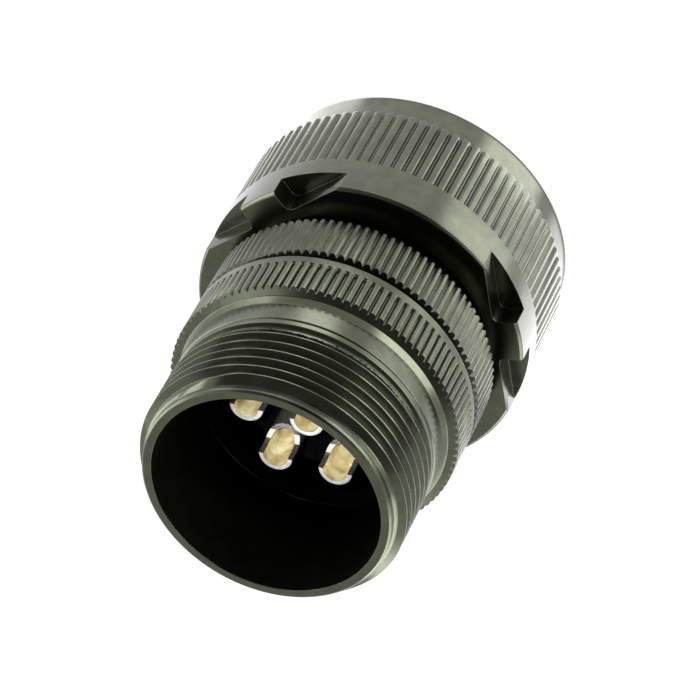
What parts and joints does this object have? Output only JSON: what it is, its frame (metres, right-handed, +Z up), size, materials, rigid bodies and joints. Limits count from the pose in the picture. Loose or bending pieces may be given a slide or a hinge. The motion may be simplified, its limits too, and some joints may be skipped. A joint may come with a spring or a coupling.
{
  "type": "straight connector plug",
  "caption": "Straight round cable plug with a knurled coupling nut, two knurled shell rings, an external accessory thread and solder-cup contacts in an open rear mouth.",
  "frame": {"origin": "centre of the mating end's face, which is the lowest face, on the plug's axis", "axes": "+Z up the plug's axis from the mating end to the cable mouth; -Y through the polarising keyway"},
  "size_m": [0.0377, 0.0376, 0.0484],
  "materials": {
    "black_coating": "satin",
    "black_ring": "matt",
    "insert_black": "matt",
    "gasket_rubber": "matt",
    "contact_plating": "satin",
    "spring_steel": "bright"
  },
  "bodies": {
    "plug_shell": {"front_shell": "black_coating", "end_bell": "black_coating", "flange_gasket": "gasket_rubber", "shell_joint_ring": "gasket_rubber", "front_insert": "insert_black", "rear_insert": "insert_black", "insert_retaining_ring": "black_ring", "contact_1": "contact_plating", "contact_2": "contact_plating", "contact_3": "contact_plating", "contact_4": "contact_plating", "contact_5": "contact_plating", "contact_6": "contact_plating", "contact_7": "contact_plating", "socket_sleeve_1": "spring_steel", "socket_sleeve_2": "spring_steel", "socket_sleeve_3": "spring_steel", "socket_sleeve_4": "spring_steel", "socket_sleeve_5": "spring_steel", "socket_sleeve_6": "spring_steel", "socket_sleeve_7": "spring_steel"},
    "lock_ring": {"nut_retaining_ring": "spring_steel"},
    "nut": {"coupling_nut": "black_coating"}
  },
  "joints": [
    {"name": "nut_float", "type": "slide", "parent": "plug_shell", "child": "lock_ring", "axis": [0, 0, 1], "range_m": [0, 0.0025]},
    {"name": "nut_turn", "type": "hinge", "parent": "lock_ring", "child": "nut", "pos_m": [0, 0, 0.0145], "axis": [0, 0, 1], "continuous": true}
  ]
}
